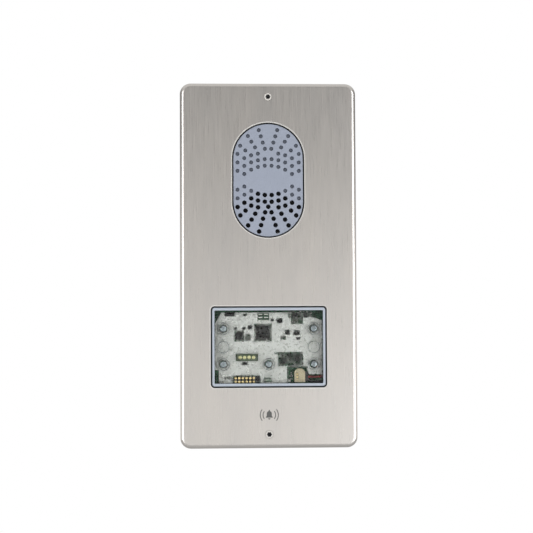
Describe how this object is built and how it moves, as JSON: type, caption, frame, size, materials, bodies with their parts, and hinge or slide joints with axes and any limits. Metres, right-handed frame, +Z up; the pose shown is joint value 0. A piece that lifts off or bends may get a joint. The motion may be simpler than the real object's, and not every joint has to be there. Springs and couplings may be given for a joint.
{
  "type": "door intercom panel",
  "caption": "Tall flush door intercom panel: brushed steel tray with an oval speech grille above a clear window over its circuit board.",
  "frame": {"origin": "middle of the panel on the back of the carrier frame, in the wall plane that the steel tray's rim stands on", "axes": "+X to the right seen from the street, +Y into the wall, +Z up"},
  "size_m": [0.122, 0.028, 0.252],
  "materials": {
    "brushed_steel": "fine upright brushed grain, bright rounded rim",
    "screw_steel": "plain zinc plate",
    "black_plastic": "fine moulded texture",
    "black_rubber": "matt",
    "mesh_cloth": "fine woven",
    "blue_grey_plastic": "satin moulded",
    "clear_plastic": "polished and clear",
    "frosted_plastic": "frosted, lets light through",
    "reflector_white": "matt film",
    "circuit_board": "green solder mask",
    "chip_resin": "matt moulded resin",
    "gold_contact": "gold flash",
    "ivory_plastic": "natural nylon",
    "green_plastic": "moulded nylon",
    "relay_blue": "moulded case",
    "capacitor_sleeve": "shrink sleeve with bare top",
    "white_plastic": "moulded nylon",
    "red_plastic": "smooth",
    "magnet_ferrite": "plated yoke over ferrite",
    "cone_film": "thin formed film",
    "copper_winding": "varnished copper wire"
  },
  "bodies": {
    "panel": {"front_plate": "brushed_steel", "screw_retainer_top": "black_plastic", "screw_retainer_bottom": "black_plastic", "stud_nut_1": "screw_steel", "stud_nut_2": "screw_steel", "stud_nut_3": "screw_steel", "stud_nut_4": "screw_steel", "carrier_frame": "black_plastic", "grille_insert": "blue_grey_plastic", "grille_gasket": "black_rubber", "acoustic_mesh": "mesh_cloth", "window_bezel": "blue_grey_plastic", "window_gasket": "black_rubber", "window_pane": "clear_plastic", "light_diffuser": "frosted_plastic", "reflector_film": "reflector_white", "diffuser_screw_1": "screw_steel", "diffuser_screw_2": "screw_steel", "diffuser_screw_3": "screw_steel", "diffuser_screw_4": "screw_steel", "diffuser_screw_5": "screw_steel", "main_board": "circuit_board", "processor_chip": "chip_resin", "memory_chip": "chip_resin", "pin_header": "gold_contact", "contact_strip": "gold_contact", "speaker_connector": "ivory_plastic", "speaker_plug": "black_plastic", "terminal_socket": "green_plastic", "lock_relay": "relay_blue", "filter_capacitor_1": "capacitor_sleeve", "filter_capacitor_2": "capacitor_sleeve", "volume_trimmer": "relay_blue", "microphone_trimmer": "relay_blue", "program_switch": "chip_resin", "electronics_cover": "black_plastic", "cover_screw_1": "screw_steel", "cover_screw_2": "screw_steel", "cover_screw_3": "screw_steel", "cover_screw_4": "screw_steel", "speaker_gasket": "black_rubber", "speaker_basket": "screw_steel", "speaker_magnet": "magnet_ferrite", "speaker_housing": "black_plastic", "housing_screw_1": "screw_steel", "housing_screw_2": "screw_steel", "housing_screw_3": "screw_steel", "housing_screw_4": "screw_steel", "microphone_boot": "black_rubber", "microphone_capsule": "screw_steel", "speaker_lead_red": "red_plastic", "speaker_lead_black": "black_plastic"},
    "top_screw": {"front_screw_top": "screw_steel"},
    "bottom_screw": {"front_screw_bottom": "screw_steel"},
    "volume_adjuster": {"volume_knob": "white_plastic"},
    "microphone_adjuster": {"microphone_knob": "white_plastic"},
    "program_key": {"program_button": "red_plastic"},
    "wiring_plug": {"terminal_plug": "green_plastic"},
    "diaphragm": {"speaker_cone": "cone_film", "voice_coil": "copper_winding"}
  },
  "joints": [
    {"name": "top_screw_turn", "type": "hinge", "parent": "panel", "child": "top_screw", "pos_m": [0, -0.003, 0.1165], "axis": [0, 1, 0], "continuous": true},
    {"name": "bottom_screw_turn", "type": "hinge", "parent": "panel", "child": "bottom_screw", "pos_m": [0, -0.003, -0.1165], "axis": [0, 1, 0], "continuous": true},
    {"name": "volume_turn", "type": "hinge", "parent": "panel", "child": "volume_adjuster", "pos_m": [0.013, 0.012, -0.036], "axis": [0, -1, 0], "range_deg": [-135, 135]},
    {"name": "microphone_turn", "type": "hinge", "parent": "panel", "child": "microphone_adjuster", "pos_m": [0.0255, 0.012, -0.036], "axis": [0, -1, 0], "range_deg": [-135, 135]},
    {"name": "program_press", "type": "slide", "parent": "panel", "child": "program_key", "axis": [0, -1, 0], "range_m": [0, 0.0003], "stiffness_N_per_m": 300},
    {"name": "plug_pull", "type": "slide", "parent": "panel", "child": "wiring_plug", "axis": [0, 1, 0], "range_m": [0, 0.014]},
    {"name": "cone_stroke", "type": "slide", "parent": "panel", "child": "diaphragm", "axis": [0, 1, 0], "range_m": [-0.0005, 0.0005], "stiffness_N_per_m": 300}
  ]
}
